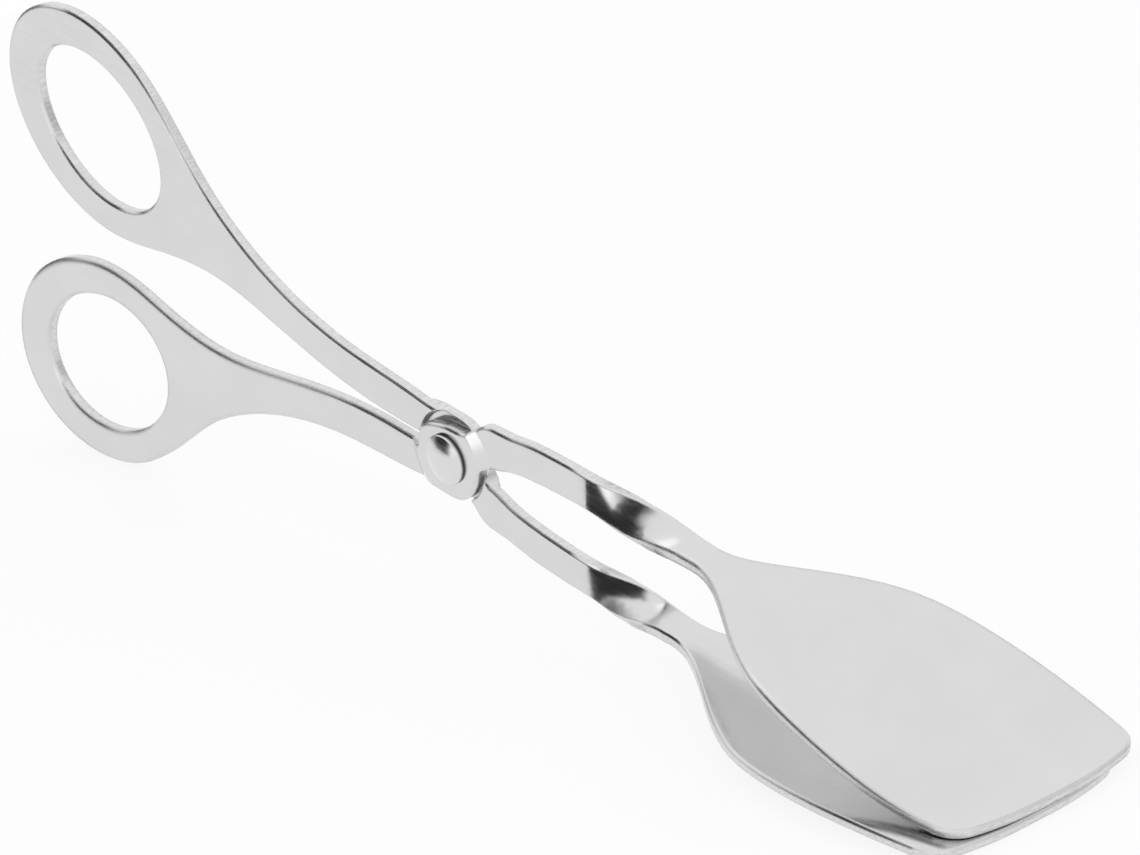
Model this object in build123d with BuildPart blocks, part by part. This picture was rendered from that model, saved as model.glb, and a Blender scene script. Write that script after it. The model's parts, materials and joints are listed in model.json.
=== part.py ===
# Scissor bread tongs: two pressed sheet steel arms with finger rings and spatula blades,
# lapped at the hub and held by one domed rivet.
#
# Every piece is drawn in the tongs' own layout and then set down on the floor:
#   layout X runs along the tongs, finger rings at minus X and blade tips at plus X,
#   layout Y is the pivot axis, the front face is at minus Y,
#   layout Z is the way the blades open, zero midway between them.
# The finished part stands on the lower finger ring and the lower blade's tip, +Z up,
# with its origin on the floor under the middle of its length. All lengths are in millimetres.

import os
from math import asin, atan2, cos, degrees, hypot, radians, sin

from build123d import *

os.makedirs("parts", exist_ok=True)

# Sheet steel, with its stamped edges broken all round
sheet = 2.2
edge_break = 0.4

# Finger ring: an oval eye whose rim is a little wider at the far end
ring_reach = 94.6
ring_rise = 23.9
ring_long_radius = 24.1
ring_short_radius = 19.3
eye_long_radius = 17.2
eye_short_radius = 12.9
eye_forward = 1.4
eye_lift = 0.3
ring_lean = 23
ring_inner_leave = 59
ring_outer_leave = 283.5

# Handle shank: points as shares of the ring's reach and rise
handle_outer_shares = [(0.69, 0.995), (0.49, 0.552), (0.295, 0.374), (0.11, 0.323),
                       (0.035, 0.303)]
handle_inner_shares = [(0.20, 0.038), (0.34, 0.092), (0.50, 0.216), (0.67, 0.31), (0.84, 0.222)]
handle_gap = 1.7

# Hub
hub_radius = 7.6
hub_nose_start_angle = -60
hub_nose_end_angle = -4
hub_cheek_start_angle = 158
hub_crown_shares = [(0.58, 0.89), (0.10, 0.82), (-0.48, 0.70)]
boss_foot_radius = 10.1
boss_top_radius = 7.9
recess_clearance = 0.3
recess_slope = 0.4
hub_play = 0.05
notch_round = 0.5

# Jaw shank: between the hub and the twist
jaw_reach = 34.0
jaw_low = 5.0
jaw_high = 11.7
jaw_low_shares = [(0.288, 0.38), (0.41, 0.63), (0.56, 0.83), (0.77, 0.955)]
jaw_high_shares = [(0.77, 0.985), (0.55, 0.935), (0.385, 0.865), (0.23, 0.795)]

# Twist: a quarter turn that brings the sheet from upright to level
neck_reach = 58.0
neck_width = 6.6
twist_sections = 10
twist_turn = 90

# Blade: shares of the run from neck to tip, and of the half width
tip_reach = 142.0
blade_half_width = 22.2
blade_shift = 2.2
blade_side_shares = [(0.065, 0.17), (0.13, 0.285), (0.264, 0.605), (0.396, 0.846), (0.53, 0.95),
                     (0.70, 1.0), (0.87, 0.975)]
blade_corner_share = 0.91
tip_crown = 2.6
tip_straight = 8.0
tip_corner_round = 6.0
tip_sheet = 1.85
neck_height = 7.35
blade_height_shares = [(0, 1.0), (0.26, 1.03), (0.45, 0.875), (0.64, 0.60), (0.80, 0.365)]
tip_gap = 0.04

# Pivot rivet
rivet_radius = 2.0
rivet_fit = 0.05
rivet_head_radius = 4.5
rivet_head_rim = 0.7
rivet_head_dome = 1.0
rivet_head_edge = 0.15

overrun = 5.0

# How the tongs stand: lower ring and lower blade tip both touch the floor
lean_cos = cos(radians(ring_lean))
lean_sin = sin(radians(ring_lean))
tip_height = tip_sheet + tip_gap / 2


def ring_point(way_x, way_z):
    """The lower ring's farthest point towards a direction in the layout."""
    along = way_x * lean_cos + way_z * lean_sin
    across = way_z * lean_cos - way_x * lean_sin
    reach = hypot(ring_long_radius * along, ring_short_radius * across)
    push_long = ring_long_radius ** 2 * along / reach
    push_short = ring_short_radius ** 2 * across / reach
    point_x = -ring_reach + push_long * lean_cos - push_short * lean_sin
    point_z = -ring_rise + push_long * lean_sin + push_short * lean_cos
    return point_x, point_z


dip = 0
for refinement in range(6):
    foot_x, foot_z = ring_point(sin(dip), -cos(dip))
    dip = atan2(-tip_height - foot_z, tip_reach - edge_break - foot_x)
foot_x, foot_z = ring_point(sin(dip), -cos(dip))
pivot_height = foot_x * sin(dip) - foot_z * cos(dip)
heel_x, heel_z = ring_point(-cos(dip), -sin(dip))
heel = heel_x * cos(dip) + heel_z * sin(dip)
toe = tip_reach * cos(dip) + (tip_height - edge_break) * sin(dip)
pivot_setback = (heel + toe) / 2
standing = Location((-pivot_setback, 0, pivot_height), (0, degrees(dip), 0))


def handle_point(share):
    """A point of the handle from its shares of the ring's reach and rise."""
    return (-ring_reach * share[0], -ring_rise * share[1])


def jaw_point(share, height):
    """A point of the jaw shank from its shares of the jaw's reach and of an edge's height."""
    return (jaw_reach * share[0], height * share[1])


def hub_point(share):
    """A point of the hub's crown from its shares of the hub radius."""
    return (hub_radius * share[0], hub_radius * share[1])


# Flat outline of one arm, as stamped: ring, handle, hub and jaw shank
with BuildSketch(Plane.XZ) as arm_outline:
    with BuildLine():
        rim_sweep = ring_outer_leave - ring_inner_leave
        rim = EllipticalCenterArc((-ring_reach, -ring_rise), ring_long_radius, ring_short_radius,
                                  start_angle=ring_inner_leave, arc_size=rim_sweep,
                                  rotation=ring_lean)
        hub_nose = CenterArc((0, 0), hub_radius, hub_nose_start_angle,
                             hub_nose_end_angle - hub_nose_start_angle)
        notch_angle = 180 + degrees(asin(handle_gap / 2 / hub_radius))
        hub_cheek = CenterArc((0, 0), hub_radius, hub_cheek_start_angle,
                              notch_angle - hub_cheek_start_angle)
        handle_outer = [handle_point(share) for share in handle_outer_shares]
        Spline(rim @ 1, *handle_outer, hub_nose @ 0, tangents=(rim % 1, hub_nose % 0))
        jaw_lower = [jaw_point(share, jaw_low) for share in jaw_low_shares]
        jaw_throat = TangentArc(hub_nose @ 1, jaw_lower[0], tangent=hub_nose % 1)
        jaw_edge = Spline(*jaw_lower, (jaw_reach, jaw_low), tangents=(jaw_throat % 1, (1, 0)))
        jaw_end = Line(jaw_edge @ 1, (jaw_reach, jaw_high))
        jaw_upper = [jaw_point(share, jaw_high) for share in jaw_high_shares]
        hub_crown = [hub_point(share) for share in hub_crown_shares]
        Spline(jaw_end @ 1, *jaw_upper, *hub_crown, hub_cheek @ 0,
               tangents=((-1, 0), hub_cheek % 0))
        handle_inner = [handle_point(share) for share in handle_inner_shares]
        Spline(hub_cheek @ 1, *handle_inner, rim @ 0, tangents=((-1, 0), rim % 0))
    make_face()
    notch = arm_outline.vertices().sort_by_distance((-hub_radius, -handle_gap / 2))[0]
    fillet(notch, radius=notch_round)
    with Locations((-ring_reach + eye_forward, -ring_rise + eye_lift)):
        Ellipse(eye_long_radius, eye_short_radius, rotation=ring_lean, mode=Mode.SUBTRACT)

# Hub boss: the pressed step that lifts the hub half a sheet towards its own side
with BuildPart(Plane.XZ.offset(sheet / 2)) as boss_die:
    Cone(boss_foot_radius, boss_top_radius, sheet / 2,
         align=(Align.CENTER, Align.CENTER, Align.MIN))
    Cylinder(boss_foot_radius, sheet / 2, align=(Align.CENTER, Align.CENTER, Align.MAX))

with BuildPart() as hub_boss:
    with BuildSketch(Plane.XZ):
        add(arm_outline.sketch)
    extrude(amount=sheet)
    rims = hub_boss.faces().sort_by(Axis.Y)[0].edges()
    chamfer([edge for edge in rims if edge.center().X < jaw_reach - edge_break], length=edge_break)
    add(boss_die.part, mode=Mode.INTERSECT)

# Twist: flat sections turned by a quarter between the jaw shank and the neck
jaw_centre = (jaw_low + jaw_high) / 2
with BuildPart() as twist:
    for step in range(twist_sections + 1):
        run = step / twist_sections
        ease = run * run * (3 - 2 * run)
        turn = radians(twist_turn) * ease
        station = jaw_reach + (neck_reach - jaw_reach) * run
        drop = jaw_centre + (neck_height - sheet / 2 - jaw_centre) * ease
        section = Plane(origin=(station, blade_shift * ease, drop),
                        x_dir=(0, sin(turn), cos(turn)), z_dir=(1, 0, 0))
        width = jaw_high - jaw_low + (neck_width - jaw_high + jaw_low) * ease
        with BuildSketch(section) as twist_section:
            Rectangle(width, sheet)
            chamfer(twist_section.vertices(), length=edge_break)
    loft()

# Blade: its curved side profile crossed with its plan outline
blade_run = tip_reach - neck_reach


def blade_station(share):
    return neck_reach + blade_run * share


with BuildPart() as blade:
    with BuildSketch(Plane.XZ) as blade_profile:
        with BuildLine():
            tops = [(blade_station(run), neck_height * rise) for run, rise in blade_height_shares]
            tops.append((tip_reach + overrun, tip_height))
            upper = Spline(*tops, tangents=((1, 0), (1, 0)))
            unders = []
            for run, rise in blade_height_shares:
                wall = sheet + (tip_sheet - sheet) * run
                unders.append((blade_station(run), neck_height * rise - wall))
            unders.append((tip_reach + overrun, tip_height - tip_sheet))
            under = Spline(*unders, tangents=((1, 0), (1, 0)))
            Line(upper @ 0, under @ 0)
            Line(upper @ 1, under @ 1)
        make_face()
    extrude(amount=blade_half_width + overrun, both=True)
    with BuildSketch(Plane((0, blade_shift, 0))) as blade_plan:
        with BuildLine():
            sides = []
            for run, spread in blade_side_shares:
                sides.append((blade_station(run), blade_half_width * spread))
            corner = (tip_reach - tip_crown, blade_half_width * blade_corner_share)
            side = Spline((neck_reach, neck_width / 2), *sides, corner)
            far_side = mirror(side, about=Plane.XZ)
            tip = Line((tip_reach, -tip_straight / 2), (tip_reach, tip_straight / 2))
            shoulder = TangentArc(tip @ 1, side @ 1, tangent=(0, 1))
            mirror(shoulder, about=Plane.XZ)
            Line(side @ 0, (neck_reach, -neck_width / 2))
        make_face()
        corners = blade_plan.vertices().group_by(Axis.X)[-2]
        fillet(corners, radius=tip_corner_round)
    extrude(amount=neck_height + overrun, both=True, mode=Mode.INTERSECT)
    blade_rims = [edge for edge in blade.edges()
                  if edge.center().X > neck_reach + edge_break and abs((edge % 0.5).Z) < 0.5]
    chamfer(blade_rims, length=edge_break)

# One arm: stamped plate, pressed hub with its recess, rivet hole, twist and blade
with BuildPart() as arm:
    with BuildSketch(Plane.XZ.offset(-sheet / 2)):
        add(arm_outline.sketch)
    extrude(amount=sheet)
    faces = arm.faces().sort_by(Axis.Y)
    rims = faces[0].edges() + faces[-1].edges()
    rims = [edge for edge in rims if edge.center().X < jaw_reach - edge_break]
    chamfer(rims, length=edge_break)
    add(hub_boss.part)
    recess_radius = hub_radius + recess_clearance
    with Locations(Location((0, -hub_play / 2, 0), (-90, 0, 0))):
        Cone(recess_radius, recess_radius + recess_slope, sheet / 2 + hub_play / 2,
             align=(Align.CENTER, Align.CENTER, Align.MIN), mode=Mode.SUBTRACT)
    with Locations(Location((0, 0, 0), (-90, 0, 0))):
        Hole(rivet_radius + rivet_fit)
    add(twist.part)
    add(blade.part)

# The two arms are the same pressing, one turned half round about the tongs' length
with BuildPart() as front_arm:
    with Locations(standing):
        add(arm.part)

with BuildPart() as rear_arm:
    with Locations(standing * Rotation(180, 0, 0)):
        add(arm.part)

# Pivot rivet: one shank through both hubs with a domed head at each end
seat = sheet + rivet_fit
rim_top = seat + rivet_head_rim
crown = rim_top + rivet_head_dome
dome_radius = (rivet_head_radius ** 2 + rivet_head_dome ** 2) / rivet_head_dome / 2
with BuildPart() as rivet:
    with BuildSketch(Plane.XY) as rivet_profile:
        with BuildLine():
            head = Polyline((0, 0), (rivet_radius, 0), (rivet_radius, seat),
                            (rivet_head_radius, seat), (rivet_head_radius, rim_top))
            dome = RadiusArc(head @ 1, (0, crown), -dome_radius)
            Line(dome @ 1, head @ 0)
        make_face()
        rim = rivet_profile.vertices().sort_by_distance((rivet_head_radius, rim_top))[0]
        chamfer(rim, length=rivet_head_edge)
        mirror(about=Plane.XZ)
    revolve(axis=Axis.Y)

with BuildPart() as pivot_rivet:
    with Locations(standing):
        add(rivet.part)

front_arm.part.label = "front_arm"
rear_arm.part.label = "rear_arm"
pivot_rivet.part.label = "pivot_rivet"

export_step(front_arm.part, "parts/front_arm.step")
export_step(rear_arm.part, "parts/rear_arm.step")
export_step(pivot_rivet.part, "parts/pivot_rivet.step")
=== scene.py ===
import json
from math import cos, radians, sin

import bpy
from mathutils import Matrix, Vector

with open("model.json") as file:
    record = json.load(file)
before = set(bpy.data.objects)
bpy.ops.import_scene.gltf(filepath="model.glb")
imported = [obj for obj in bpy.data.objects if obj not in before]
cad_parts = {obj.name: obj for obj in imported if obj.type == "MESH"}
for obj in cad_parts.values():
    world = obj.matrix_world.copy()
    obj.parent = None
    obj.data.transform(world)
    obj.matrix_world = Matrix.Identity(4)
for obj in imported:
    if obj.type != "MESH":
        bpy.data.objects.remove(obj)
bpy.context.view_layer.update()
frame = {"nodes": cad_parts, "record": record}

# The tongs' own layout has X along the tongs and Y along the pivot. The frame holds them
# dipped towards the blade tips, as they stand, with the pivot at the hinge's position.
PIVOT = Vector(frame["record"]["behaviour"]["joints"][0]["pos_m"])
DIP = radians(10.06)
TO_FRAME = Matrix.Rotation(DIP, 3, "Y")

WHITE = (1, 1, 1, 1)

# The Mix node's first value, second value and result for each kind of data
MIX_SOCKETS = {"FLOAT": (2, 3, 0), "VECTOR": (4, 5, 1)}


# Small helpers for node trees
class Tree:
    """A node tree with short ways to add, set and join its nodes."""

    def __init__(self, owner):
        owner.use_nodes = True
        self.nodes = owner.node_tree.nodes
        self.links = owner.node_tree.links
        self.nodes.clear()

    def add(self, kind, settings=None, **inputs):
        node = self.nodes.new("ShaderNode" + kind)
        for name, value in (settings or {}).items():
            setattr(node, name, value)
        for name, value in inputs.items():
            self.feed(node, name.replace("_", " "), value)
        return node

    def feed(self, node, socket, value):
        """Joins or sets one input, which is given by its name or its place."""
        target = node.inputs[socket]
        if isinstance(value, bpy.types.NodeSocket):
            self.links.new(value, target)
        else:
            target.default_value = value

    def math(self, operation, first, second=0.0):
        node = self.add("Math", {"operation": operation})
        self.feed(node, 0, first)
        self.feed(node, 1, second)
        return node.outputs[0]

    def vector_math(self, operation, first, second):
        node = self.add("VectorMath", {"operation": operation})
        self.feed(node, 0, first)
        self.feed(node, 1, second)
        return node.outputs["Vector"]

    def split(self, vector):
        return self.add("SeparateXYZ", Vector=vector).outputs.values()

    def ramp(self, value, low, high, start=0.0, end=1.0, curve="SMOOTHSTEP"):
        """Value runs from start at low to end at high, and holds outside."""
        node = self.add("MapRange", {"interpolation_type": curve}, Value=value,
                        From_Min=low, From_Max=high, To_Min=start, To_Max=end)
        return node.outputs["Result"]

    def mix(self, fraction, first, second, kind="FLOAT"):
        """The first value at 0 of the fraction, the second at 1."""
        low, high, result = MIX_SOCKETS[kind]
        node = self.add("Mix", {"data_type": kind})
        self.feed(node, 0, fraction)
        self.feed(node, low, first)
        self.feed(node, high, second)
        return node.outputs[result]

    def noise(self, place, shares, scale, detail):
        """Noise whose scale has its own share on each axis. A small share draws it out."""
        node = self.add("TexNoise", Vector=self.vector_math("MULTIPLY", place, shares),
                        Scale=scale, Detail=detail, Roughness=NOISE_ROUGHNESS)
        return node.outputs["Fac"]

    def carry(self, vector, kind, source, target):
        """A direction carried between the world and the piece, which turns with its joint."""
        settings = {"vector_type": kind, "convert_from": source, "convert_to": target}
        return self.add("VectorTransform", settings, Vector=vector).outputs["Vector"]

    def undip(self, vector):
        """A direction of the frame, turned into the tongs' own layout."""
        settings = {"rotation_type": "Y_AXIS"}
        return self.add("VectorRotate", settings, Vector=vector, Angle=-DIP).outputs["Vector"]


# Steel, with all lengths in metres in the tongs' own layout.
# A face becomes cut wall as the cosine of its turn from the sheet's own normal falls.
WALL_FROM, WALL_TO = 0.75, 0.45

# Each grain: its share of the scale on X, Y and Z, its scale and its detail
SHEAR_MARKS = ((1.0, 0.22, 1.0), 2600, 5)
DRAWN_LINES = ((0.05, 1.0, 1.0), 1100, 4)
MOTTLE = ((1.0, 1.0, 1.0), 60, 3)
NOISE_ROUGHNESS = 0.6

# The span that most of a noise lies in, and what the grains add to tone, roughness and relief
NOISE_SPAN = (0.3, 0.7)
MOTTLE_TONE = 0.012
SHEAR_TONE = (-0.08, 0.09)
GRAIN_ROUGH = 0.03
WALL_ROUGH = 0.14
RELIEF_STRENGTH, RELIEF_DEPTH = 0.12, 0.00001

# A sheet's edges have their hub radius within HUB_REACH of HUB_MIDDLE and the other past HUB_FADE
HUB_MIDDLE, HUB_REACH, HUB_FADE = 0.01, 0.03, 0.055

# The quarter twist runs over this length. Its sheen starts a little before it and ends after
# it, and the lean that spreads the sheen fades out from SHEEN_FADE on.
TWIST_START, TWIST_END = 0.034, 0.058
SHEEN_START, SHEEN_END, SHEEN_FADE = 0.0295, 0.063, 0.049
QUARTER = radians(90)

# A rivet head has a steady crown, and painted shade darkens its colour where its rim meets the
# hub, in place of the shadow in that crevice
CROWN_INNER, CROWN_OUTER = 0.0004, 0.0008
SEAT_LOW, SEAT_HIGH, SEAT_PAINTED_SHADE = 0.00235, 0.0028, 0.85


def cut_wall(tree, turned):
    """1 where a surface looks away from the sheet's own normal, in any pose."""
    geometry = tree.add("NewGeometry").outputs["True Normal"]
    normal = tree.carry(geometry, "NORMAL", "WORLD", "OBJECT")
    _, normal_y, normal_z = tree.split(tree.undip(normal))
    facing = tree.math("SUBTRACT", tree.math("MULTIPLY", normal_z, tree.math("SINE", turned)),
                       tree.math("MULTIPLY", normal_y, tree.math("COSINE", turned)))
    return tree.ramp(tree.math("ABSOLUTE", facing), WALL_FROM, WALL_TO)


def sheet_normal(tree, along, turned, edge_rounds):
    """Rounded edges, and the twist's sheen spread over a longer run than its turn."""
    near_hub, away = [tree.add("Bevel", Radius=size).outputs["Normal"] for size in edge_rounds]
    from_hub = tree.math("ABSOLUTE", tree.math("SUBTRACT", along, HUB_MIDDLE))
    rounded = tree.mix(tree.ramp(from_hub, HUB_REACH, HUB_FADE), near_hub, away, "VECTOR")
    spread = tree.ramp(along, SHEEN_START, SHEEN_END, 0, QUARTER, "LINEAR")
    lean = tree.math("MULTIPLY", tree.math("SUBTRACT", turned, spread),
                     tree.ramp(along, SHEEN_FADE, SHEEN_END, 1, 0))
    length = tree.carry(TO_FRAME @ Vector((1, 0, 0)), "VECTOR", "OBJECT", "WORLD")
    leaned = tree.add("VectorRotate", {"rotation_type": "AXIS_ANGLE"}, Vector=rounded,
                      Axis=length, Angle=lean)
    return leaned.outputs["Vector"]


def head_normal(tree, place):
    """The head's own normal, held straight outward over the crown."""
    along, side, up = tree.split(place)
    reach = tree.math("SQRT", tree.math("ADD", tree.math("MULTIPLY", along, along),
                                        tree.math("MULTIPLY", up, up)))
    steady = tree.ramp(reach, CROWN_INNER, CROWN_OUTER, 1, 0)
    outward = tree.add("CombineXYZ", Y=tree.math("SIGN", side)).outputs["Vector"]
    return tree.mix(steady, tree.add("NewGeometry").outputs["Normal"], outward, "VECTOR")


def steel(name, tone, rough, edge_rounds=None):
    """Satin steel with a faint mottle on its faces and fine shear marks on its cut walls.

    A sheet has edge_rounds, the radii of its edges at the hub and away from it. A rivet has none,
    and gets painted shade in its colour where its rim meets the hub.
    """
    material = bpy.data.materials.new(name)
    tree = Tree(material)
    in_frame = tree.add("TexCoord").outputs["Object"]
    place = tree.undip(tree.vector_math("SUBTRACT", in_frame, PIVOT))
    along, side, _ = tree.split(place)
    turned = tree.ramp(along, TWIST_START, TWIST_END, 0, QUARTER)
    wall = cut_wall(tree, turned)

    shear = tree.noise(place, *SHEAR_MARKS)
    grain = tree.mix(wall, tree.noise(place, *DRAWN_LINES), shear)
    mottle = tree.noise(place, *MOTTLE)
    face_tone = tree.ramp(mottle, *NOISE_SPAN, tone - MOTTLE_TONE, tone + MOTTLE_TONE)
    wall_tone = tree.math("MULTIPLY", wall, tree.ramp(shear, *NOISE_SPAN, *SHEAR_TONE))
    level = tree.math("ADD", face_tone, wall_tone)
    grain_rough = tree.ramp(grain, *NOISE_SPAN, rough - GRAIN_ROUGH, rough + GRAIN_ROUGH)
    roughness = tree.math("ADD", grain_rough, tree.math("MULTIPLY", wall, WALL_ROUGH))

    if edge_rounds:
        normal = sheet_normal(tree, along, turned, edge_rounds)
    else:
        normal = head_normal(tree, place)
        # Painted shade: the rivet's colour is darkened near the hub, where its rim meets the
        # hub's face
        shade = tree.ramp(tree.math("ABSOLUTE", side), SEAT_LOW, SEAT_HIGH, SEAT_PAINTED_SHADE, 0)
        level = tree.math("MULTIPLY", level, tree.math("SUBTRACT", 1.0, shade))

    colour = tree.add("CombineColor", Red=level, Green=level, Blue=level).outputs["Color"]
    relief = tree.add("Bump", Strength=RELIEF_STRENGTH, Distance=RELIEF_DEPTH, Height=grain,
                      Normal=normal)
    surface = tree.add("BsdfPrincipled", Base_Color=colour, Metallic=1.0, Roughness=roughness,
                       Normal=relief.outputs["Normal"])
    tree.add("OutputMaterial", Surface=surface.outputs["BSDF"])
    return material


SHEET_TONE, SHEET_ROUGH = 0.70, 0.16
RIVET_TONE, RIVET_ROUGH = 0.72, 0.20

# The punch rolled the edges over on one side of the sheet, which faces front on the front arm
ROLLED_EDGES = (0.0005, 0.0011)
CRISP_EDGES = (0.00035, 0.00045)

ROLLED_STEEL = steel("satin_steel_rolled_edges", SHEET_TONE, SHEET_ROUGH, ROLLED_EDGES)
CRISP_STEEL = steel("satin_steel_crisp_edges", SHEET_TONE, SHEET_ROUGH, CRISP_EDGES)
RIVET_STEEL = steel("rivet_steel", RIVET_TONE, RIVET_ROUGH)

for node, material in (("front_arm", ROLLED_STEEL), ("rear_arm", CRISP_STEEL),
                       ("pivot_rivet", RIVET_STEEL)):
    slots = frame["nodes"][node].data.materials
    slots.clear()
    slots.append(material)


# White floor, which keeps the tongs' shadow
FLOOR_LOW, FLOOR_HIGH = (-0.30, -0.16), (0.42, 0.42)
FLOOR_LIFT = 0.85


def white_floor():
    mesh = bpy.data.meshes.new("floor")
    corners = [(*FLOOR_LOW, 0), (FLOOR_HIGH[0], FLOOR_LOW[1], 0),
               (*FLOOR_HIGH, 0), (FLOOR_LOW[0], FLOOR_HIGH[1], 0)]
    mesh.from_pydata(corners, [], [(0, 1, 2, 3)])
    material = bpy.data.materials.new("floor_white")
    tree = Tree(material)
    paper = tree.add("BsdfDiffuse", Color=WHITE).outputs["BSDF"]
    glow = tree.add("Emission", Color=WHITE, Strength=1.0).outputs["Emission"]
    seen = tree.add("LightPath").outputs
    direct = tree.math("MAXIMUM", seen["Is Camera Ray"], seen["Is Glossy Ray"])
    mixed = tree.add("MixShader", Fac=tree.math("MULTIPLY", direct, FLOOR_LIFT))
    tree.feed(mixed, 1, paper)
    tree.feed(mixed, 2, glow)
    tree.add("OutputMaterial", Surface=mixed.outputs["Shader"])
    mesh.materials.append(material)
    floor = bpy.data.objects.new("floor", mesh)
    bpy.context.scene.collection.objects.link(floor)


white_floor()

# White studio all round, with a dark front opening, dimmer low sides and two brighter cards.
# Each patch: compass angle from +X, half width, lowest and highest elevation and soft edge,
# all in degrees, and its level against the white around it.
PATCHES = {
    "low_left": (184, 24, -12, 18, 7, 0.22),
    "opening": (229, 18.5, -15, 46, 4, 0.03),
    "opening_top": (262, 30, 22, 46, 5, 0.03),
    "front_card": (273, 20, -3, 17, 5, 1.45),
    "low_right": (48, 40, -12, 34, 12, 0.62),
    "panel": (186, 16, 54, 70, 6, 1.35),
}

# Keeps the division finite straight overhead and straight below
LEAST_SPREAD = 0.0001


def studio():
    world = bpy.data.worlds.new("studio")
    bpy.context.scene.world = world
    tree = Tree(world)
    x, y, height = tree.split(tree.add("TexCoord").outputs["Generated"])
    spread = tree.math("SUBTRACT", 1.0, tree.math("MULTIPLY", height, height))
    spread = tree.math("SQRT", tree.math("MAXIMUM", spread, LEAST_SPREAD))
    level = 1.0
    for angle, half, low, high, soft, value in PATCHES.values():
        facing_x = tree.math("MULTIPLY", x, cos(radians(angle)))
        facing_y = tree.math("MULTIPLY", y, sin(radians(angle)))
        facing = tree.math("DIVIDE", tree.math("ADD", facing_x, facing_y), spread)
        across = tree.ramp(facing, cos(radians(half + soft)), cos(radians(half - soft)))
        above = tree.ramp(height, sin(radians(low - soft)), sin(radians(low + soft)))
        below = tree.ramp(height, sin(radians(high - soft)), sin(radians(high + soft)), 1.0, 0.0)
        inside = tree.math("MULTIPLY", across, tree.math("MULTIPLY", above, below))
        level = tree.mix(inside, level, value)
    shown = tree.mix(tree.add("LightPath").outputs["Is Camera Ray"], level, 1.0)
    glow = tree.add("Background", Color=WHITE, Strength=shown)
    tree.add("OutputWorld", Surface=glow.outputs["Background"])


studio()

# Camera, solved from the photograph in the tongs' layout
TURN, TILT, ROLL = radians(48.825), radians(31.602), radians(0.405)
EYE = Vector((0.949534, -0.805243, 0.770991))
FOCAL_LENGTH, SENSOR_WIDTH = 276.07, 36
FARTHEST_SEEN = 10


def camera():
    forward = Vector((-sin(TURN) * cos(TILT), cos(TURN) * cos(TILT), -sin(TILT)))
    level = forward.cross(Vector((0, 0, 1))).normalized()
    plumb = forward.cross(level)
    right = cos(ROLL) * level + sin(ROLL) * plumb
    up = sin(ROLL) * level - cos(ROLL) * plumb
    turn = Matrix((TO_FRAME @ right, TO_FRAME @ up, TO_FRAME @ -forward)).transposed()
    data = bpy.data.cameras.new("camera")
    data.sensor_width = SENSOR_WIDTH
    data.lens = FOCAL_LENGTH
    data.clip_end = FARTHEST_SEEN
    cam = bpy.data.objects.new("camera", data)
    cam.matrix_world = Matrix.Translation(TO_FRAME @ EYE + PIVOT) @ turn.to_4x4()
    bpy.context.scene.collection.objects.link(cam)
    bpy.context.scene.camera = cam


camera()

bpy.context.scene.view_settings.view_transform = "Standard"
